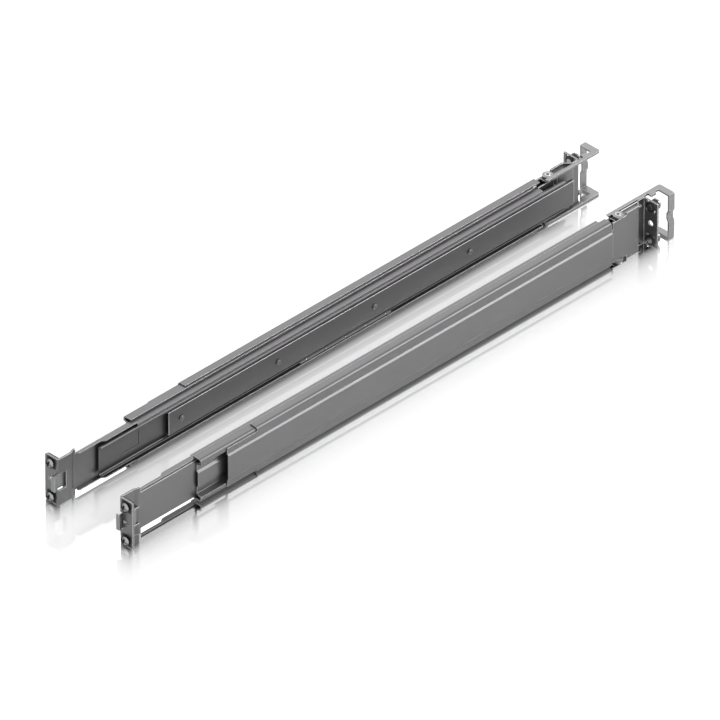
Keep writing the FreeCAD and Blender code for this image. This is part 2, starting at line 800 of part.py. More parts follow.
def make_inner_member():
    wall = size.inner_sheet
    top = size.inner_height / 2
    face = -size.inner_web_out
    open_edge = face + size.inner_depth
    half = [
        (open_edge, top - wall),
        (open_edge, top),
        (face, top),
    ]
    body = new_body("right_slide_inner_member")
    sketch = new_sketch(body, "inner_section", "XZ_Plane", -along(size.inner_front))
    outline = half + [(face, -top), (open_edge, -top), (open_edge, wall - top), (face + wall, wall - top),
                      (face + wall, top - wall)]
    draw_outline(sketch, [(across(out), up(rise)) for out, rise in outline])
    pad(body, sketch, size.inner_end - size.inner_front, backwards=True)
    round_edges(body, size.inner_sheet, 1, section_corners(half, [2]))
    side_holes(body, "stud_holes", face, wall, size.stud_shank_radius + size.running_clearance,
               [(size.stud_first + size.stud_pitch * index, 0) for index in range(STUDS)])
    return body


def make_chassis_studs():
    studs = []
    for index in range(STUDS):
        centre = (across(-size.inner_web_out), along(size.stud_first + size.stud_pitch * index), up(0))
        profile = [
            (0, -size.inner_sheet),
            (size.stud_shank_radius, -size.inner_sheet),
            (size.stud_shank_radius, 0),
            (size.stud_radius, 0),
            (size.stud_radius, size.stud_height * 0.6),
            (size.stud_radius * 0.75, size.stud_height),
            (0, size.stud_height),
        ]
        studs.append(turned(f"chassis_stud_{index + 1}", "XZ_Plane", profile, centre, (-1, 0, 0)))
    return group("right_chassis_studs", studs)


def make_slide_rivets():
    """Rivets flush in the fixed race, with a collar where nothing else fills the gap, and a head on the channel."""
    rivets = []
    reach = channel_web_face - fixed_face
    for number, (back, rise) in enumerate(rivet_places(), start=1):
        shank = size.rivet_radius
        collar = size.rivet_head_radius
        profile = [(0, 0), (shank, 0)]
        if number > 2:
            profile += [(shank, size.fixed_sheet), (collar, size.fixed_sheet),
                        (collar, channel_web - fixed_face), (shank, channel_web - fixed_face)]
        profile += [(shank, reach), (collar, reach), (collar * 0.7, reach + size.rivet_head_height),
                    (0, reach + size.rivet_head_height)]
        centre = (across(fixed_face), along(back), up(rise))
        rivets.append(turned(f"slide_rivet_{number}", "XZ_Plane", profile, centre, (1, 0, 0)))
    return group("right_slide_rivets", rivets)


def ball_backs(front, count):
    return [front + size.cage_margin + size.ball_pitch * index for index in range(count)]


def cage_length(count):
    return size.ball_pitch * (count - 1) + size.cage_margin * 2


def make_balls(name, radius, out, rise, backs):
    balls = []
    for back in backs:
        for sign in (1, -1):
            ball = doc.addObject("Part::Sphere", f"{name}_ball")
            ball.setExpression("Radius", radius.text)
            for letter, place in zip("xyz", (across(out), along(back), up(rise * sign))):
                ball.setExpression(f".Placement.Base.{letter}", place.text)
            balls.append(ball)
    return group(name, balls)


def make_outer_ball_cage():
    """A strip along each race, joined by a thin web, with pockets that hold the balls."""
    body = new_body("right_outer_ball_cage")
    strip_half = size.outer_ball_radius * 0.3
    inboard = race_out - size.outer_ball_radius * 0.6
    half = [
        (cage_web_out, outer_ball_rise + strip_half),
        (inboard, outer_ball_rise + strip_half),
        (inboard, outer_ball_rise - strip_half),
        (cage_web_out - size.cage_sheet, outer_ball_rise - strip_half),
    ]
    sketch = new_sketch(body, "outer_cage_section", "XZ_Plane", -along(size.outer_cage_front))
    draw_outline(sketch, [(across(out), up(rise)) for out, rise in mirrored(half)])
    pad(body, sketch, cage_length(OUTER_BALLS), backwards=True)
    sketch = new_sketch(body, "outer_cage_pockets", "XY_Plane", up(-fixed_top))
    for back in ball_backs(size.outer_cage_front, OUTER_BALLS):
        draw_circle(sketch, across(race_out), along(back), size.outer_ball_radius + size.ball_clearance)
    pocket(body, sketch, fixed_top * 2, backwards=True)
    return body


def make_inner_ball_cage():
    """A thin plate between the middle member's web and the inner member, notched for the balls."""
    body = new_body("right_inner_ball_cage")
    plate_out = middle_face - size.slide_gap - size.cage_sheet / 2
    half = size.race_rise + size.cage_sheet
    sketch = new_sketch(body, "inner_cage_plate", "YZ_Plane", across(plate_out))
    front = size.inner_cage_front
    draw_outline(sketch, rectangle(along(front), along(front + cage_length(INNER_BALLS)), up(-half), up(half)))
    pad(body, sketch, size.cage_sheet / 2)
    sketch = new_sketch(body, "inner_cage_notches", "YZ_Plane", across(plate_out))
    for back in ball_backs(front, INNER_BALLS):
        for sign in (1, -1):
            draw_circle(sketch, along(back), up(inner_ball_rise() * sign),
                        size.inner_ball_radius + size.ball_clearance)
    pocket(body, sketch, size.cage_sheet / 2, backwards=True)
    return body


def inner_ball_rise():
    return size.inner_height / 2 + size.ball_clearance + size.inner_ball_radius


# Rear bracket
# A flat arm slides between the two channels, so the rear flange can be set to the depth of the rack.
# Behind the channels the sheet widens to the full height, carries the lever's tabs and turns outward.

def make_rear_bracket():
    body = new_body("right_rear_bracket")
    flange_front = rear_face - size.rear_sheet
    flange_end = rear_web_out + size.rear_sheet + size.rear_flange_width
    sheet_out = rear_arm_out + size.rear_sheet
    plan = new_sketch(body, "rear_bracket_plan", "XY_Plane", up(-rear_top))
    draw_outline(plan, [
        (across(rear_arm_out), along(size.rear_arm_front)),
        (across(sheet_out), along(size.rear_arm_front)),
        (across(sheet_out), along(rear_joggle_start)),
        (across(rear_web_out + size.rear_sheet), along(rear_joggle_end)),
        (across(rear_web_out + size.rear_sheet), along(flange_front)),
        (across(flange_end), along(flange_front)),
        (across(flange_end), along(rear_face)),
        (across(rear_web_out), along(rear_face)),
        (across(rear_web_out), along(rear_joggle_end)),
        (across(rear_arm_out), along(rear_joggle_start)),
    ])
    pad(body, plan, rear_top * 2)
    round_edges(body, size.bend_radius, 2, [(across(rear_web_out), along(rear_face))])
    # the arm is low enough to slide between the channels, and the web is cut down under the lever's lug
    sketch = new_sketch(body, "rear_arm_edges", "YZ_Plane", across(sheet_out))
    tab_end = pivot_back + size.tab_length / 2
    arm_rise = rear_arm_rise
    draw_outline(sketch, [
        (along(size.rear_arm_front), up(arm_rise)),
        (along(rear_web_front), up(arm_rise)),
        (along(rear_web_front), up(tab_top_rise)),
        (along(tab_end), up(tab_top_rise)),
        (along(tab_end + size.tab_gap), up(rear_top)),
        (along(size.rear_arm_front), up(rear_top)),
    ])
    draw_outline(sketch, [
        (along(size.rear_arm_front), up(-arm_rise)),
        (along(size.rear_arm_front), up(-rear_top)),
        (along(tab_end + size.tab_gap), up(-rear_top)),
        (along(tab_end), up(-tab_top_rise)),
        (along(rear_web_front), up(-tab_top_rise)),
        (along(rear_web_front), up(-arm_rise)),
    ])
    pocket(body, sketch, size.rear_sheet)
    # tabs bent inward from the web, which carry the lever's pivots
    tab_start = pivot_back - size.tab_length / 2
    for name, low in (("upper_tab", tab_top_rise - size.rear_sheet), ("lower_tab", -tab_top_rise)):
        sketch = new_sketch(body, name, "XY_Plane", up(low))
        draw_outline(sketch, rectangle(across(size.pivot_out - size.lever_lug_radius),
                                       across(rear_arm_out + size.rear_sheet / 2),
                                       along(tab_start), along(tab_end)))
        pad(body, sketch, size.rear_sheet)
    sketch = new_sketch(body, "tab_holes", "XY_Plane", up(-rear_top))
    draw_circle(sketch, across(size.pivot_out), along(pivot_back), size.pin_radius + size.running_clearance)
    pocket(body, sketch, rear_top * 2, backwards=True)
    # square holes for the rear bushings and a round hole between them
    sketch = new_sketch(body, "rear_flange_holes", "XZ_Plane", -along(flange_front))
    half = size.bushing_side / 2 + size.rivet_clearance
    for out, rise in rear_hole_places():
        draw_outline(sketch, rectangle(across(out - half), across(out + half), up(rise - half), up(rise + half)))
    draw_circle(sketch, across(rear_hole_out()), up(0), size.screw_radius)
    pocket(body, sketch, size.rear_sheet)
    return body


def rear_hole_out():
    return rear_web_out + size.rear_sheet + size.rear_flange_width / 2


def rear_hole_places():
    return [(rear_hole_out(), size.hole_pitch), (rear_hole_out(), -size.hole_pitch)]


def make_rear_fasteners():
    bushings = []
    screws = []
    front = rear_face + size.bushing_front
    for number, (out, rise) in enumerate(rear_hole_places(), start=1):
        bushings.append(make_bushing(f"rear_bushing_{number}", out, rise, front, -1))
        screws.append(make_screw(f"rear_screw_{number}", out, rise, front, 1))
    return [group("right_rear_bushings", bushings), group("right_rear_screws", screws)]


# Rear lever
# Two strips, above and below, pivot in front and are joined by an upright finger bar behind.

def make_rear_lever():
    body = new_body("right_rear_lever")
    strip_in = size.lever_strip_out - size.lever_strip_width
    strip_front = pivot_back - size.lever_front_reach
    bar_front = lever_end - size.lever_bar_width
    tooth_end = tooth_front + size.tooth_width
    corner = size.lever_strip_width / 2
    for name, low in (("upper_strip", lever_bottom_rise), ("lower_strip", -lever_top_rise)):
        sketch = new_sketch(body, name, "XY_Plane", up(low))
        draw_outline(sketch, [
            (across(strip_in + 1.0), along(strip_front)),
            (across(size.lever_strip_out), along(strip_front)),
            (across(size.lever_strip_out), along(tooth_front)),
            (across(size.lever_strip_out + size.tooth_reach), along(tooth_front)),
            (across(size.lever_strip_out + size.tooth_reach), along(tooth_end)),
            (across(size.lever_strip_out + size.lever_step), along(tooth_end + 1.0)),
            (across(size.lever_strip_out + size.lever_step), along(bar_front)),
            (across(size.lever_bar_out), along(bar_front)),
            (across(size.lever_bar_out), along(lever_end)),
            (across(strip_in + corner), along(lever_end)),
            (across(strip_in), along(lever_end - corner)),
            (across(strip_in), along(strip_front + 1.0)),
        ])
        pad(body, sketch, size.lever_sheet)
        sketch = new_sketch(body, name + "_lug", "XY_Plane", up(low))
        draw_circle(sketch, across(size.pivot_out), along(pivot_back), size.lever_lug_radius)
        pad(body, sketch, size.lever_sheet)
    # the finger bar, kinked inward at mid height
    sketch = new_sketch(body, "finger_bar", "XZ_Plane", -along(bar_front))
    kink = size.lever_bar_kink
    bar_in = size.lever_bar_out - size.lever_sheet
    low = -lever_top_rise
    quarter = lever_top_rise / 4
    half_kink = quarter / 2
    outline = [
        (size.lever_bar_out, low), (size.lever_bar_out, -quarter), (size.lever_bar_out - kink, -half_kink),
        (size.lever_bar_out - kink, half_kink), (size.lever_bar_out, quarter), (size.lever_bar_out, -low),
        (bar_in, -low), (bar_in, quarter), (bar_in - kink, half_kink), (bar_in - kink, -half_kink),
        (bar_in, -quarter), (bar_in, low),
    ]
    draw_outline(sketch, [(across(out), up(rise)) for out, rise in outline])
    pad(body, sketch, size.lever_bar_width, backwards=True)
    sketch = new_sketch(body, "lever_bores", "XY_Plane", up(low))
    draw_circle(sketch, across(size.pivot_out), along(pivot_back), size.pin_radius + size.running_clearance)
    pocket(body, sketch, lever_top_rise * 2, backwards=True)
    return body


def make_rear_lever_pins():
    length = size.lever_sheet + size.tab_gap + size.rear_sheet
    low = tab_top_rise - size.rear_sheet
    pins = []
    for number, base in enumerate((low, -low - length), start=1):
        pins.append(make_cylinder(f"rear_lever_pin_{number}", size.pin_radius, length,
                                  (across(size.pivot_out), along(pivot_back), up(base))))
    return group("right_rear_lever_pins", pins)


def make_rear_lever_spring():
    rise = tab_top_rise - size.rear_sheet - size.spring_wire - size.slide_gap / 2
    coil = size.pin_radius
    return wire_spring("right_rear_lever_spring", size.pivot_out - size.pin_radius, pivot_back, rise, coil,
                       (-90.0, size.pin_radius, 120.0, size.lever_lug_radius * 2))


def make_right_rail():
    nodes = [make_front_bracket()]
    nodes += make_front_fasteners()
    nodes += [make_front_hook(), make_front_hook_pin(), make_front_hook_spring()]
    nodes += [make_front_channel(), make_outer_channel()]
    nodes += [make_fixed_member(), make_slide_rivets(), make_middle_member(), make_inner_member(),
              make_chassis_studs()]
    nodes.append(make_outer_ball_cage())
    nodes.append(make_balls("right_outer_balls", size.outer_ball_radius, race_out, outer_ball_rise,
                            ball_backs(size.outer_cage_front, OUTER_BALLS)))
    nodes.append(make_inner_ball_cage())
    nodes.append(make_balls("right_inner_balls", size.inner_ball_radius, race_out, inner_ball_rise(),
                            ball_backs(size.inner_cage_front, INNER_BALLS)))
    nodes.append(make_rear_bracket())
    nodes += make_rear_fasteners()
    nodes += [make_rear_lever(), make_rear_lever_pins(), make_rear_lever_spring()]
    return nodes


def make_left_rail(right_nodes):
    """The left rail is the right one's mirror image."""
    nodes = []
    for source in right_nodes:
        mirror = doc.addObject("Part::Mirroring", source.Label.replace("right_", "left_"))
        mirror.Label = source.Label.replace("right_", "left_")
        mirror.Source = source
        mirror.Normal = FreeCAD.Vector(1, 0, 0)
        mirror.Base = FreeCAD.Vector(0, 0, 0)
        nodes.append(mirror)
    return nodes


right_rail = make_right_rail()
left_rail = make_left_rail(right_rail)
doc.recompute()

nodes = right_rail + left_rail
for item in doc.Objects:
    if "Invalid" in item.State or "Error" in item.State:
        raise RuntimeError(f"{item.Name} failed: {item.State}")
for node in nodes:
    if node.Shape.isNull() or not node.Shape.isValid():
        raise RuntimeError(f"{node.Label} has no valid shape")
if len(nodes) > NODE_LIMIT:
    raise RuntimeError("too many nodes")

os.makedirs("parts", exist_ok=True)
for node in nodes:
    node.Shape.exportStep(f"parts/{node.Label}.step")
    print(node.Label, len(node.Shape.Solids), round(node.Shape.Volume, 2))
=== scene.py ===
"""Looks of the sliding server rail pair: zinc-plated sheet steel on a white studio floor."""

import json
import math

import bmesh
import bpy
import numpy as np
from mathutils import Matrix, Vector


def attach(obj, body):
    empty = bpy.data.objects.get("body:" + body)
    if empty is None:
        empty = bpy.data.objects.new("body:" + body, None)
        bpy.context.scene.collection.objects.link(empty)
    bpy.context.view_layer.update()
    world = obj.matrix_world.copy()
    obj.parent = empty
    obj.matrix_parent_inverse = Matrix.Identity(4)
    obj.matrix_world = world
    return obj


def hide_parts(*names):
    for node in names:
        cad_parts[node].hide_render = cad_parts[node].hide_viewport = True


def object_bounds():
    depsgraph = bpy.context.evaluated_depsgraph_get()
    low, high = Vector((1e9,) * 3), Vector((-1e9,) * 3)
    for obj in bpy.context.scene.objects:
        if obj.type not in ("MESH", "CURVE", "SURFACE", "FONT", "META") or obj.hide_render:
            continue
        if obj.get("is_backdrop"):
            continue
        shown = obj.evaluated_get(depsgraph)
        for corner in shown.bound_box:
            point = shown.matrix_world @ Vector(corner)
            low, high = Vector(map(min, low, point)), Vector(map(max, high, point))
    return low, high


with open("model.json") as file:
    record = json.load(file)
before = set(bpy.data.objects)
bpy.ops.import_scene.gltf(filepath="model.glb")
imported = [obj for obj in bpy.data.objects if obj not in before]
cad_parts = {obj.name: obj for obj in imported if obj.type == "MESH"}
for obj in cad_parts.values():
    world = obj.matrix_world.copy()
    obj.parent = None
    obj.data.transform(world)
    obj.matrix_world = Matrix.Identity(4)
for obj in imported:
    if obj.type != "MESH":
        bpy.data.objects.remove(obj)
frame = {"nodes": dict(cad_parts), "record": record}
MM = 0.001


def save_size(stage, sizes={}):
    """Keeps the object's lowest and highest corner before and after dressing."""
    low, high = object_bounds()
    sizes[stage] = [list(low), list(high)]


save_size("loaded")

# Shader nodes

MIX_FIRST, MIX_SECOND, MIX_RESULT = 6, 7, 2


def add(tree, kind, **settings):
    """A new shader node with its settings."""
    node = tree.nodes.new(kind)
    for key, value in settings.items():
        setattr(node, key, value)
    return node


def feed(tree, socket, value):
    """Links a socket to another node's output, or sets it to a plain value."""
    if isinstance(value, bpy.types.NodeSocket):
        tree.links.new(value, socket)
    else:
        socket.default_value = value


def calculated(tree, operation, *values):
    """The output of a Math node that works on the values."""
    node = add(tree, "ShaderNodeMath", operation=operation)
    for socket, value in zip(node.inputs, values):
        feed(tree, socket, value)
    return node.outputs["Value"]


def ramp(tree, value, start, stop):
    """0 where the value is start, and evenly on to 1 where it is stop."""
    node = add(tree, "ShaderNodeMapRange")
    feed(tree, node.inputs["Value"], value)
    feed(tree, node.inputs["From Min"], start)
    feed(tree, node.inputs["From Max"], stop)
    return node.outputs["Result"]


def blended(tree, factor, first, second):
    """The first colour where the factor is 0 and the second where it is 1."""
    node = add(tree, "ShaderNodeMix", data_type="RGBA")
    feed(tree, node.inputs["Factor"], factor)
    feed(tree, node.inputs[MIX_FIRST], first)
    feed(tree, node.inputs[MIX_SECOND], second)
    return node.outputs[MIX_RESULT]


def noise(tree, place, scale, detail):
    """Noise from 0 to 1 at a place, as many lumps to the metre as the scale says."""
    node = add(tree, "ShaderNodeTexNoise")
    feed(tree, node.inputs["Vector"], place)
    feed(tree, node.inputs["Scale"], scale)
    feed(tree, node.inputs["Detail"], detail)
    return node.outputs["Fac"]


def new_group(name, inputs, outputs):
    """An empty shader group with inputs given as (name, type, default) and outputs given as (name, type)."""
    group = bpy.data.node_groups.new(name, "ShaderNodeTree")
    for socket_name, kind, default in inputs:
        socket = group.interface.new_socket(socket_name, in_out="INPUT", socket_type=kind)
        socket.default_value = default
    for socket_name, kind in outputs:
        group.interface.new_socket(socket_name, in_out="OUTPUT", socket_type=kind)
    return group


def add_group(tree, group, **values):
    """A shader group placed in a material, with its own input values."""
    node = add(tree, "ShaderNodeGroup", node_tree=group)
    for name, value in values.items():
        feed(tree, node.inputs[name], value)
    return node


# Shader groups

EDGE_RADIUS = 0.3
EDGE_SAMPLES = 6
EDGE_START_COSINE = 0.995
EDGE_FULL_COSINE = 0.8

SHEET_ROUGHNESS = 0.4
CLOUD_SCALE = 28.0
CLOUD_DETAIL = 3.0
CLOUD_STRENGTH = 0.12
NOISE_MIDDLE = 0.5
MOTTLE_SCALE = 900.0
MOTTLE_DETAIL = 2.0
MOTTLE_STRENGTH = 0.12


def rounded_edge_group():
    """Edge: 0 on a face to 1 on an outer edge. Normal: the surface normal with edges rounded by Radius.

    Edge grows as the cosine of the angle between the rounded normal and the flat one falls.
    """
    group = new_group("rounded_edge", [("Radius", "NodeSocketFloat", EDGE_RADIUS * MM)],
                      [("Edge", "NodeSocketFloat"), ("Normal", "NodeSocketVector")])
    enter = add(group, "NodeGroupInput")
    leave = add(group, "NodeGroupOutput")
    bevel = add(group, "ShaderNodeBevel", samples=EDGE_SAMPLES)
    feed(group, bevel.inputs["Radius"], enter.outputs["Radius"])
    geometry = add(group, "ShaderNodeNewGeometry")
    cosine = add(group, "ShaderNodeVectorMath", operation="DOT_PRODUCT")
    feed(group, cosine.inputs[0], bevel.outputs["Normal"])
    feed(group, cosine.inputs[1], geometry.outputs["Normal"])
    edge = ramp(group, cosine.outputs["Value"], EDGE_START_COSINE, EDGE_FULL_COSINE)
    feed(group, leave.inputs["Edge"], edge)
    feed(group, leave.inputs["Normal"], bevel.outputs["Normal"])
    return group


def plating_group():
    """Shade: a slow cloudiness around 1. Roughness: a fine mottle on top of the given roughness."""
    inputs = [("Roughness", "NodeSocketFloat", SHEET_ROUGHNESS), ("Cloud", "NodeSocketFloat", CLOUD_STRENGTH)]
    group = new_group("plating", inputs, [("Shade", "NodeSocketFloat"), ("Roughness", "NodeSocketFloat")])
    enter = add(group, "NodeGroupInput")
    leave = add(group, "NodeGroupOutput")
    place = add(group, "ShaderNodeTexCoord").outputs["Object"]
    cloud = noise(group, place, CLOUD_SCALE, CLOUD_DETAIL)
    centred = calculated(group, "SUBTRACT", cloud, NOISE_MIDDLE)
    shade = calculated(group, "MULTIPLY_ADD", centred, enter.outputs["Cloud"], 1.0)
    feed(group, leave.inputs["Shade"], shade)
    mottle = noise(group, place, MOTTLE_SCALE, MOTTLE_DETAIL)
    roughness = calculated(group, "MULTIPLY_ADD", mottle, MOTTLE_STRENGTH, enter.outputs["Roughness"])
    feed(group, leave.inputs["Roughness"], roughness)
    return group


ROUNDED_EDGE = rounded_edge_group()
PLATING = plating_group()

# Finishes

# Painted edge light: colours painted along the outer edges of bends and cuts. The paler ones are painted
# highlights; the darkest, for the pins, is a painted shade.
PALE_EDGE_HIGHLIGHT = (0.9, 0.9, 0.9)
BRIGHT_EDGE_HIGHLIGHT = (1.0, 1.0, 1.0)
DULL_EDGE_HIGHLIGHT = (0.45, 0.45, 0.45)
GREY_EDGE_HIGHLIGHT = (0.1, 0.1, 0.1)
DARK_EDGE_SHADE = (0.02, 0.02, 0.02)
NICKEL_EDGE_HIGHLIGHT = (0.7, 0.7, 0.68)

# Painted sheen of the screw heads: the facing ramp that turns their colour from bright to dim.
FACING_BLEND = 0.5
FACING_START = 0.04
FACING_STOP = 0.45


def plain(name, colour, roughness, metallic=0.0):
    """One even colour, for small pieces that show no grain."""
    material = bpy.data.materials.new(name)
    material.use_nodes = True
    shader = material.node_tree.nodes["Principled BSDF"]
    shader.inputs["Base Color"].default_value = (*colour, 1.0)
    shader.inputs["Roughness"].default_value = roughness
    shader.inputs["Metallic"].default_value = metallic
    return material


def metal(name, colour, roughness, painted_edge_light=PALE_EDGE_HIGHLIGHT, cloud=CLOUD_STRENGTH, edge_radius=EDGE_RADIUS,
          metallic=0.85):
    """Plated sheet: cloudy plating, with painted edge light along the outer edges of bends and cuts."""
    material = plain(name, colour, roughness, metallic)
    tree = material.node_tree
    shader = tree.nodes["Principled BSDF"]
    edge = add_group(tree, ROUNDED_EDGE, Radius=edge_radius * MM)
    plating = add_group(tree, PLATING, Roughness=roughness, Cloud=cloud)
    clouded = add(tree, "ShaderNodeVectorMath", operation="SCALE")
    feed(tree, clouded.inputs[0], colour)
    feed(tree, clouded.inputs["Scale"], plating.outputs["Shade"])
    # Painted edge light: along outer edges the base colour turns to the painted edge colour, a painted
    # highlight where it is paler than the sheet and a painted shade where it is darker.
    shown = blended(tree, edge.outputs["Edge"], clouded.outputs["Vector"], (*painted_edge_light, 1.0))
    feed(tree, shader.inputs["Base Color"], shown)
    feed(tree, shader.inputs["Roughness"], plating.outputs["Roughness"])
    feed(tree, shader.inputs["Normal"], edge.outputs["Normal"])
    return material


def painted_sheen_metal(name, bright, dim, roughness):
    """Polished metal with a painted sheen: its colour is painted bright where it faces the viewer and dim
    where it turns away.
    """
    material = plain(name, bright, roughness, 1.0)
    tree = material.node_tree
    weight = add(tree, "ShaderNodeLayerWeight")
    feed(tree, weight.inputs["Blend"], FACING_BLEND)
    away = ramp(tree, weight.outputs["Facing"], FACING_START, FACING_STOP)
    shown = blended(tree, away, (*bright, 1.0), (*dim, 1.0))
    feed(tree, tree.nodes["Principled BSDF"].inputs["Base Color"], shown)
    return material


PLATED = {
    "bracket_steel": dict(colour=(0.188, 0.188, 0.191), roughness=0.34, painted_edge_light=BRIGHT_EDGE_HIGHLIGHT,
                          edge_radius=0.7),
    "channel_steel": dict(colour=(0.185, 0.185, 0.188), roughness=0.32, edge_radius=0.45),
    "outer_steel": dict(colour=(0.185, 0.185, 0.188), roughness=0.32, edge_radius=0.45),
    "slide_steel": dict(colour=(0.17, 0.17, 0.173), roughness=0.42, painted_edge_light=DULL_EDGE_HIGHLIGHT),
    "inner_steel": dict(colour=(0.138, 0.138, 0.14), roughness=0.3, painted_edge_light=BRIGHT_EDGE_HIGHLIGHT, edge_radius=1.0),
    "fixed_steel": dict(colour=(0.222, 0.218, 0.224), roughness=0.38, edge_radius=0.45),
    "rivet_steel": dict(colour=(0.25, 0.25, 0.255), roughness=0.3),
    "stud_steel": dict(colour=(0.18, 0.18, 0.183), roughness=0.25),
    "dark_steel": dict(colour=(0.03, 0.03, 0.032), roughness=0.4, painted_edge_light=GREY_EDGE_HIGHLIGHT, metallic=0.5),
    "bright_nickel": dict(colour=(0.33, 0.325, 0.315), roughness=0.12, painted_edge_light=NICKEL_EDGE_HIGHLIGHT, cloud=0.05,
                          metallic=1.0),
    "lever_steel": dict(colour=(0.27, 0.27, 0.273), roughness=0.32, edge_radius=0.4),
    "pin_steel": dict(colour=(0.05, 0.05, 0.052), roughness=0.3, painted_edge_light=DARK_EDGE_SHADE),
    "spring_steel": dict(colour=(0.2, 0.2, 0.21), roughness=0.3),
}
PLAIN = {
    "ring_nickel": dict(colour=(0.5, 0.5, 0.5), roughness=0.3, metallic=0.8),
    # Painted highlight: the pale finish of the band laid on the inner member's upper bend.
    "bend_highlight_steel": dict(colour=(0.3, 0.3, 0.303), roughness=0.3, metallic=0.6),
    # Painted shade: near-black for the screw heads' cross recess, underside and neck.
    "painted_head_shade": dict(colour=(0.012, 0.012, 0.012), roughness=0.5, metallic=0.5),
    "cage_plastic": dict(colour=(0.75, 0.75, 0.73), roughness=0.5),
    "ball_steel": dict(colour=(0.7, 0.7, 0.71), roughness=0.08, metallic=1.0),
}
MATERIALS = {name: metal(name, **finish) for name, finish in PLATED.items()}
MATERIALS.update({name: plain(name, **finish) for name, finish in PLAIN.items()})
MATERIALS["head_nickel_painted_sheen"] = painted_sheen_metal("head_nickel_painted_sheen", bright=(0.44, 0.435, 0.425), dim=(0.03, 0.03, 0.029),
                                  roughness=0.13)

NODE_FINISHES = {"slide_fixed_member": "fixed_steel"}


def dress_nodes():
    """Gives each CAD node the finish of its own name, or else of its slot in the record."""
    slots = {part["node"]: part["material_slot"] for part in frame["record"]["subparts"]}
    for name, node in frame["nodes"].items():
        kind = name.split("_", 1)[1]
        node.data.materials.clear()
        node.data.materials.append(MATERIALS[NODE_FINISHES.get(kind, slots[name])])


dress_nodes()

# Places on a rail

SIDES = {"right": 1.0, "left": -1.0}
OUT, BACK, RISE = range(3)


def node_box(name):
    """The lowest and the highest corner of a CAD node, in millimetres."""
    corners = np.array(frame["nodes"][name].bound_box) / MM
    return np.array([corners.min(axis=0), corners.max(axis=0)])


# The front bracket begins where out and back are 0 and is as high as the rail, whose middle has the rise 0.
BRACKET_LOW, BRACKET_HIGH = node_box("right_front_bracket")
RAIL_PLACE = np.array([*BRACKET_LOW[:RISE], (BRACKET_LOW[RISE] + BRACKET_HIGH[RISE]) / 2.0])
REAR_FACE = (node_box("right_rear_bracket") - RAIL_PLACE).max(axis=0)[BACK]
INNER_LOW, INNER_HIGH = node_box("right_slide_inner_member") - RAIL_PLACE
HOLE_PITCH = 15.875
HOLE_RISES = np.array([HOLE_PITCH, -HOLE_PITCH])


def placed(side, out, back, rise):
    """Points of a rail in metres: (s (x + out), y + back, z + rise).

    Here s is the side's sign, and (x, y, z) is the right rail's place.
    """
    local = np.stack(np.broadcast_arrays(out, back, rise), axis=-1)
    return (RAIL_PLACE + local) * (SIDES[side], 1.0, 1.0) * MM


# Surfaces

TURN_STEPS = 40
MERGE_GAP = 1e-7


def ring_faces(rings, steps, closed):
    """Corners of the quads between neighbouring rings of a grid.

    The quad at ring i and step j has the corners (i, j), (i + 1, j), (i + 1, j + 1) and (i, j + 1). The last
    step meets the first, and if closed the last ring also meets the first.
    """
    ring, step = np.meshgrid(np.arange(rings if closed else rings - 1), np.arange(steps), indexing="ij")
    beyond = (ring + 1) % rings
    after = (step + 1) % steps
    corners = [ring * steps + step, beyond * steps + step, beyond * steps + after, ring * steps + after]
    return np.stack(corners, axis=-1).reshape(-1, 4)


def closed_surface(name, points, faces, materials, shades=None):
    """A closed mesh of points in metres and their quads, merged and with its faces turned outwards.

    The shades, if any, are each face's number among the materials, and such a mesh is shaded smooth.
    """
    mesh = bpy.data.meshes.new(name)
    mesh.from_pydata(points.reshape(-1, 3).tolist(), [], faces.tolist())
    for material in materials:
        mesh.materials.append(material)
    if shades is not None:
        mesh.polygons.foreach_set("material_index", shades)
        mesh.polygons.foreach_set("use_smooth", np.ones(len(shades), dtype=bool))
    cleaned = bmesh.new()
    cleaned.from_mesh(mesh)
    bmesh.ops.remove_doubles(cleaned, verts=cleaned.verts, dist=MERGE_GAP)
    bmesh.ops.recalc_face_normals(cleaned, faces=cleaned.faces)
    cleaned.to_mesh(mesh)
    cleaned.free()
    piece = bpy.data.objects.new(name, mesh)
    bpy.context.scene.collection.objects.link(piece)
    return piece


def turned(radius, back, steps):
    """Rings of points (r cos a, b, r sin a) about a line along Y, where the angle a goes once round.

    Each ring has its own radius r, and its place b along the line is one number or one for each step.
    """
    angle = np.linspace(0.0, 2.0 * math.pi, steps, endpoint=False)
    radius = np.reshape(radius, (-1, 1))
    back = np.reshape(back, (len(radius), -1))
    return np.stack(np.broadcast_arrays(radius * np.cos(angle), back, radius * np.sin(angle)), axis=-1)


def repeated(grid, faces, centres):
    """The same grid of points set at each centre, with its faces counted on from one centre to the next."""
    grid = grid.reshape(-1, 3)
    points = grid[None, :, :] + centres[:, None, :]
    counted = faces[None, :, :] + (np.arange(len(centres)) * len(grid))[:, None, None]
    return points.reshape(-1, 3), counted.reshape(-1, 4)


def swept(name, section, front, end, side, material):
    """A bent sheet: its section's points (out, rise) carried straight back from front to end.

    The section is the sheet's outer line followed by its inner line. Quads between the two close each end.
    """
    out, rise = np.transpose(section)
    grid = placed(side, out, np.array([[front], [end]]), rise)
    count = len(section)
    outer = np.arange(count // 2 - 1)
    cap = np.stack([outer, outer + 1, count - 2 - outer, count - 1 - outer], axis=-1)
    faces = np.concatenate([ring_faces(2, count, closed=False), cap, cap + count])
    return closed_surface(name, grid, faces, [material])


# Rear bushings and screws

REAR_HOLE_OUT = 10.8
REAR_SHEET = 1.4
STUD_STAND = 4.2
SOLID_STUD_STAND = 0.5
BUSHING_BORE = 2.7
BUSHING_BODY = 4.3
BUSHING_COLLAR = 4.9
COLLAR_DEPTH = 1.1
COLLAR_RIM = 0.6


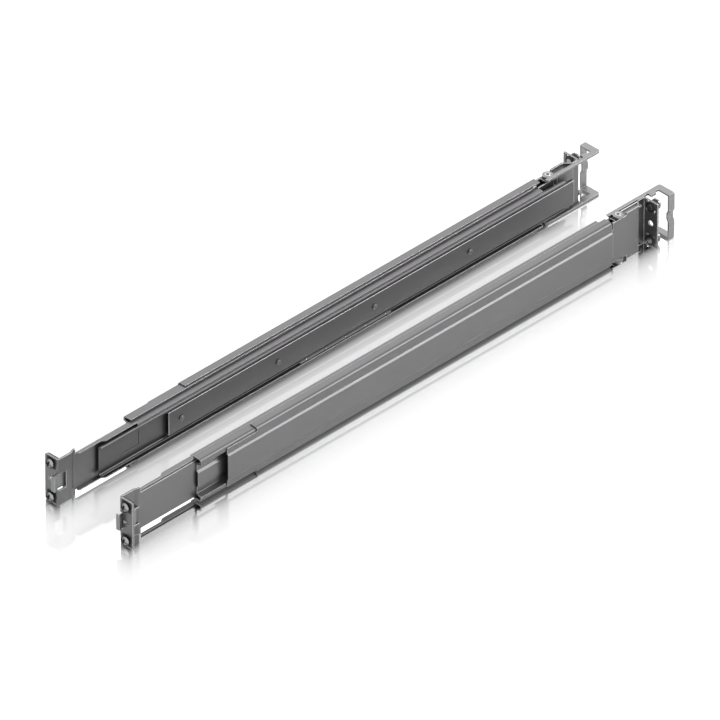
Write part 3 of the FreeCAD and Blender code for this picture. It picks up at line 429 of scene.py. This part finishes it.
def make_rear_bushings(side):
    """Bushings that are round before the flange, where the solids are square.

    Each is turned about its screw's line. Its outline of radius and back goes from the bore over the bevelled
    collar and the body, which passes through the flange, to the screw's head.
    """
    front = -REAR_SHEET
    outline = [
        (BUSHING_BORE, front - COLLAR_DEPTH), (BUSHING_BODY, front - COLLAR_DEPTH),
        (BUSHING_COLLAR, front - COLLAR_RIM), (BUSHING_COLLAR, front), (BUSHING_BODY, front),
        (BUSHING_BODY, STUD_STAND), (BUSHING_BORE, STUD_STAND),
    ]
    radius, back = np.transpose(outline)
    grid = turned(radius, back, TURN_STEPS) * MM
    centres = placed(side, REAR_HOLE_OUT, REAR_FACE, HOLE_RISES)
    points, faces = repeated(grid, ring_faces(len(outline), TURN_STEPS, closed=True), centres)
    bushing = closed_surface(f"{side}_rear_round_bushings", points, faces, [MATERIALS["dark_steel"]])
    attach(bushing, f"{side}_rear")
    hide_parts(f"{side}_rear_bushings")


def make_rear_screws(side):
    """The rear screws' own mesh, moved back to the ends of the bushings."""
    node = frame["nodes"][f"{side}_rear_screws"]
    screws = node.copy()
    screws.data = node.data.copy()
    screws.name = f"{side}_rear_standing_screws"
    bpy.context.scene.collection.objects.link(screws)
    screws.data.transform(Matrix.Translation((0.0, (STUD_STAND - SOLID_STUD_STAND) * MM, 0.0)))
    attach(screws, f"{side}_rear")
    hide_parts(f"{side}_rear_screws")


# Front screw heads

FRONT_HOLE_OUT = 7.7
HEAD_RADIUS = 4.4
HEAD_SEAT = -0.9
HEAD_RIM = 0.9
HEAD_DOME = 2.1
NECK_RADIUS = 3.2
CROSS_HALF_WIDTH = 0.75
CROSS_LENGTH = 2.8
CROSS_DEPTH = 1.5
CROSS_SLOPE = 0.6
CROSS_TURN = 0.35
HEAD_RINGS = 30
HEAD_STEPS = 72


def make_screw_heads(side):
    """Standing domed screw heads with a cross recess, whose recess, underside and neck are painted near-black:
    a painted shade.

    At the radius r and the angle a round the head's middle a point stands rim + dome sqrt(1 - (r/R)^2) before
    the seat, where R is the head's radius. Inside the cross it stands depth (1 - slope m / length) less.
    There x and z are r cos a and r sin a turned by a fixed angle, the smaller of |x| and |z| is under the half
    width, and the larger, m, is under the length. Four more rings behind close the rim, the neck and its end.
    """
    radius = np.linspace(0.0, HEAD_RADIUS, HEAD_RINGS)
    flat = turned(radius, 0.0 * radius, HEAD_STEPS)
    across_head, up_head = flat[..., OUT], flat[..., RISE]
    turned_across = across_head * math.cos(CROSS_TURN) - up_head * math.sin(CROSS_TURN)
    turned_up = across_head * math.sin(CROSS_TURN) + up_head * math.cos(CROSS_TURN)
    reach = np.maximum(abs(turned_across), abs(turned_up))
    recess = (np.minimum(abs(turned_across), abs(turned_up)) < CROSS_HALF_WIDTH) & (reach < CROSS_LENGTH)
    stand = HEAD_RIM + HEAD_DOME * np.sqrt(1.0 - (radius[:, None] / HEAD_RADIUS) ** 2)
    stand = stand - np.where(recess, CROSS_DEPTH * (1.0 - CROSS_SLOPE * reach / CROSS_LENGTH), 0.0)
    dome = turned(radius, HEAD_SEAT - stand, HEAD_STEPS)
    neck = turned([HEAD_RADIUS, NECK_RADIUS, NECK_RADIUS, 0.0], [HEAD_SEAT, HEAD_SEAT, 0.0, 0.0], HEAD_STEPS)
    grid = np.concatenate([dome, neck]) * MM
    centres = placed(side, FRONT_HOLE_OUT, 0.0, HOLE_RISES)
    points, faces = repeated(grid, ring_faces(len(grid), HEAD_STEPS, closed=False), centres)
    # Painted shade: the underside and neck faces, and the dome's recess faces, take the near-black shade
    # material.
    dark = np.ones((len(grid) - 1, HEAD_STEPS), dtype=np.int32)
    dark[:HEAD_RINGS] = recess
    heads = closed_surface(f"{side}_front_domed_screws", points, faces,
                           [MATERIALS["head_nickel_painted_sheen"], MATERIALS["painted_head_shade"]],
                           np.tile(dark.reshape(-1), len(centres)))
    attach(heads, "rails")
    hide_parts(f"{side}_front_screws")


# Rings of the lever's pins

PIVOT_OUT = 5.05
PIVOT_BACK = 545.4
RING_OUTLINE = [(1.1, 20.9), (2.5, 20.9), (2.7, 21.35), (2.4, 21.7), (1.5, 21.75), (1.1, 21.5)]


def make_pin_rings(side):
    """A rolled ring round the lever's pin above the upper lug, and its mirror image below the lower one.

    A point is the pin's place + (r cos a, r sin a, h) above and + (r cos a, r sin a, -h) below, where the
    radius r and the height h over the rail's middle follow RING_OUTLINE and the angle a goes once round.
    """
    radius, height = np.transpose(RING_OUTLINE)
    across, up, lengthwise = np.moveaxis(turned(radius, height, TURN_STEPS), -1, 0)
    upper = np.stack([across, lengthwise, up], axis=-1) * MM
    both = np.stack([upper, upper * (1.0, 1.0, -1.0)]) + placed(side, PIVOT_OUT, PIVOT_BACK, 0.0)
    faces = ring_faces(len(RING_OUTLINE), TURN_STEPS, closed=True)
    rings = closed_surface(f"{side}_pin_rings", both,
                           np.concatenate([faces, faces + len(RING_OUTLINE) * TURN_STEPS]),
                           [MATERIALS["ring_nickel"]])
    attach(rings, f"{side}_rear")


# Inner wall of the rear bracket

BOX_FRONT = 552.2
BOX_END = 570.0
BOX_INNER = 1.0
BOX_OUTER = 7.4
BOX_SHEET = 1.0
BOX_RISE = 18.9
BOX_CORNER = 1.2
BOX_CORNER_POINTS = 4
TONGUE_FRONT = 530.8
TONGUE_RISE = 17.4


def box_line(inset):
    """Points (out, rise) of the box from its lower outer edge round the inner wall to its upper outer edge.

    The upper corner is (w + c (1 - cos t), h - c (1 - sin t)) with t from 0 to 90 degrees, where w is the
    wall's place, h the top's rise and c the corner's radius. The inset moves the wall and the top inwards and
    leaves as much less of c. The lower half is the upper one's mirror image.
    """
    corner = BOX_CORNER - inset
    wall = BOX_INNER + inset
    top = BOX_RISE - inset
    turn = np.radians(np.linspace(0.0, 90.0, BOX_CORNER_POINTS))
    arc = np.stack([wall + corner * (1.0 - np.cos(turn)), top - corner * (1.0 - np.sin(turn))], axis=-1)
    upper = np.vstack([arc, (BOX_OUTER, top)])
    lower = upper[::-1] * (1.0, -1.0)
    return np.vstack([lower, upper])


def make_inner_wall(side):
    """The shallow box between the lever's lug and the rear web, and the flat tongue that goes on before it.

    Both are sheets carried straight back. The box is closed above, below and inboard.
    """
    section = np.vstack([box_line(0.0), box_line(BOX_SHEET)[::-1]])
    wall = swept(f"{side}_rear_inner_wall", section, BOX_FRONT, BOX_END, side, MATERIALS["bracket_steel"])
    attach(wall, f"{side}_rear")
    tongue = swept(f"{side}_rear_inner_tongue", [
        (BOX_INNER, TONGUE_RISE), (BOX_INNER + BOX_SHEET, TONGUE_RISE),
        (BOX_INNER + BOX_SHEET, -TONGUE_RISE), (BOX_INNER, -TONGUE_RISE),
    ], TONGUE_FRONT, BOX_FRONT, side, MATERIALS["bracket_steel"])
    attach(tongue, f"{side}_rear")


# Painted highlight on the inner member's bend

BEND_RADIUS = 0.9
BEND_CENTRE = np.array([INNER_LOW[OUT] + BEND_RADIUS, INNER_HIGH[RISE] - BEND_RADIUS])
BEND_END_GAP = 0.2
HIGHLIGHT_HEIGHT = 0.06
HIGHLIGHT_DEPTH = 0.3
HIGHLIGHT_START = 15.0
HIGHLIGHT_STOP = 80.0
HIGHLIGHT_STEPS = 7


def make_painted_bend_highlight(side):
    """A bright band laid on the inner member's upper bend, almost from end to end: a painted highlight.

    Its section's points are (c - r cos t, d + r sin t), where (c, d) is the bend's centre and t runs over the
    highlighted angles. Here r is the bend's radius, a little raised for the outer line and lowered for the
    inner.
    """
    angle = np.radians(np.linspace(HIGHLIGHT_START, HIGHLIGHT_STOP, HIGHLIGHT_STEPS))
    line = np.stack([-np.cos(angle), np.sin(angle)], axis=-1)
    section = np.concatenate([BEND_CENTRE + (BEND_RADIUS + HIGHLIGHT_HEIGHT) * line,
                              (BEND_CENTRE + (BEND_RADIUS - HIGHLIGHT_DEPTH) * line)[::-1]])
    band = swept(f"{side}_inner_painted_bend_highlight", section, INNER_LOW[BACK] + BEND_END_GAP,
                 INNER_HIGH[BACK] - BEND_END_GAP, side, MATERIALS["bend_highlight_steel"])
    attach(band, f"{side}_inner")


for rail_side in SIDES:
    make_painted_bend_highlight(rail_side)
    make_rear_bushings(rail_side)
    make_rear_screws(rail_side)
    make_inner_wall(rail_side)
    make_screw_heads(rail_side)
    make_pin_rings(rail_side)

# Studio, whose own sizes are in metres and the footprint's in millimetres

WHITE = (1.0, 1.0, 1.0, 1.0)
SKY_GREY = (0.66, 0.66, 0.66, 1.0)
FLOOR_GREY = (0.85, 0.85, 0.85, 1.0)
FLOOR_SIZE = 40.0
FLOOR_ROUGHNESS = 0.06
FLOOR_SPECULAR = 0.2
FLOOR_LIFT = 0.41
FOOT_CENTRE = 39.6
FOOT_HALF_WIDTH = 5.8
FOOT_HALF_LENGTH = 298.0
POLISH_FADE = 10.0


def background_rays(tree):
    """A mask of the rays that show the background: from the camera, off metal and through glass."""
    path = add(tree, "ShaderNodeLightPath")
    glossy = calculated(tree, "MAXIMUM", path.outputs["Is Camera Ray"], path.outputs["Is Glossy Ray"])
    return calculated(tree, "MAXIMUM", glossy, path.outputs["Is Transmission Ray"])


def polish_group():
    """Polish: 1 under the rails, falling by a factor e for each fade length outside their footprint."""
    group = new_group("polish", [], [("Polish", "NodeSocketFloat")])
    leave = add(group, "NodeGroupOutput")
    place = add(group, "ShaderNodeTexCoord")
    parts = add(group, "ShaderNodeSeparateXYZ")
    feed(group, parts.inputs[0], place.outputs["Object"])
    across = calculated(group, "ABSOLUTE", parts.outputs["X"])
    off_centre = calculated(group, "ABSOLUTE", calculated(group, "SUBTRACT", across, FOOT_CENTRE * MM))
    beside = calculated(group, "SUBTRACT", off_centre, FOOT_HALF_WIDTH * MM)
    along = calculated(group, "ABSOLUTE", parts.outputs["Y"])
    beyond = calculated(group, "SUBTRACT", along, FOOT_HALF_LENGTH * MM)
    away = calculated(group, "MAXIMUM", calculated(group, "MAXIMUM", beside, beyond), 0.0)
    faded = calculated(group, "EXPONENT", calculated(group, "DIVIDE", away, -POLISH_FADE * MM))
    feed(group, leave.inputs["Polish"], faded)
    return group


def make_floor():
    """A white floor with soft shadows, polished to a mirror under and close beside the rails."""
    bpy.ops.mesh.primitive_plane_add(size=FLOOR_SIZE, location=(0, 0, 0))
    floor = bpy.context.object
    floor.name = "floor"
    material = bpy.data.materials.new("floor")
    material.use_nodes = True
    tree = material.node_tree
    shader = tree.nodes["Principled BSDF"]
    feed(tree, shader.inputs["Base Color"], FLOOR_GREY)
    feed(tree, shader.inputs["Roughness"], FLOOR_ROUGHNESS)
    feed(tree, shader.inputs["Specular IOR Level"], FLOOR_SPECULAR)
    feed(tree, shader.inputs["Emission Color"], WHITE)
    polish = add_group(tree, polish_group())
    path = add(tree, "ShaderNodeLightPath")
    polished = calculated(tree, "MULTIPLY", polish.outputs["Polish"], path.outputs["Is Camera Ray"])
    feed(tree, shader.inputs["Metallic"], polished)
    dull = calculated(tree, "SUBTRACT", 1.0, polished)
    shown = calculated(tree, "MULTIPLY", background_rays(tree), dull)
    feed(tree, shader.inputs["Emission Strength"], calculated(tree, "MULTIPLY", shown, FLOOR_LIFT))
    floor.data.materials.append(material)
    floor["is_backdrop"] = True


def make_world():
    """A grey sky that lights the object and shows as white."""
    world = bpy.data.worlds.new("studio")
    bpy.context.scene.world = world
    world.use_nodes = True
    tree = world.node_tree
    background = tree.nodes["Background"]
    feed(tree, background.inputs["Color"], blended(tree, background_rays(tree), SKY_GREY, WHITE))
    feed(tree, background.inputs["Strength"], 1.0)


def make_softbox(name, place, size, power):
    """A square lamp at a place in metres, turned to the part's origin."""
    light = bpy.data.lights.new(name, "AREA")
    light.shape = "SQUARE"
    light.size = size
    light.energy = power
    holder = bpy.data.objects.new(name, light)
    holder.location = place
    holder.rotation_mode = "QUATERNION"
    holder.rotation_quaternion = (-Vector(place)).to_track_quat("-Z", "Y")
    bpy.context.scene.collection.objects.link(holder)


# Camera

VIEW_AZIMUTH = math.radians(45.0)
VIEW_ELEVATION = math.atan(1 / math.sqrt(2))
VIEW_WIDTH = 0.5638
VIEW_DISTANCE = 17.0
VIEW_REACH = 100.0
SENSOR_WIDTH = 36.0
# where the photograph's centre lies, across and up in its own plane, from the part's origin, in millimetres
CENTRE_ACROSS = -0.2
CENTRE_UP = 5.8


def make_camera():
    """A very long lens, far away, looking down a cube's diagonal.

    Its length is the sensor's width times the distance, over the width that is seen.
    """
    back = Vector((math.sin(VIEW_AZIMUTH) * math.cos(VIEW_ELEVATION),
                   -math.cos(VIEW_AZIMUTH) * math.cos(VIEW_ELEVATION), math.sin(VIEW_ELEVATION)))
    rightward = Vector((math.cos(VIEW_AZIMUTH), math.sin(VIEW_AZIMUTH), 0.0))
    upward = back.cross(rightward)
    lens = bpy.data.cameras.new("camera")
    lens.sensor_width = SENSOR_WIDTH
    lens.lens = SENSOR_WIDTH * VIEW_DISTANCE / VIEW_WIDTH
    lens.clip_end = VIEW_REACH
    camera = bpy.data.objects.new("camera", lens)
    camera.location = rightward * CENTRE_ACROSS * MM + upward * CENTRE_UP * MM + back * VIEW_DISTANCE
    camera.rotation_mode = "QUATERNION"
    camera.rotation_quaternion = (-back).to_track_quat("-Z", "Y")
    bpy.context.scene.collection.objects.link(camera)
    bpy.context.scene.camera = camera


make_floor()
make_world()
make_softbox("bend_light", place=(1.6, 1.6, 1.6), size=0.5, power=17.0)
make_softbox("top_light", place=(-1.5, 1.5, 1.5), size=1.2, power=5.0)
make_camera()
bpy.context.scene.view_settings.view_transform = "Standard"

save_size("dressed")
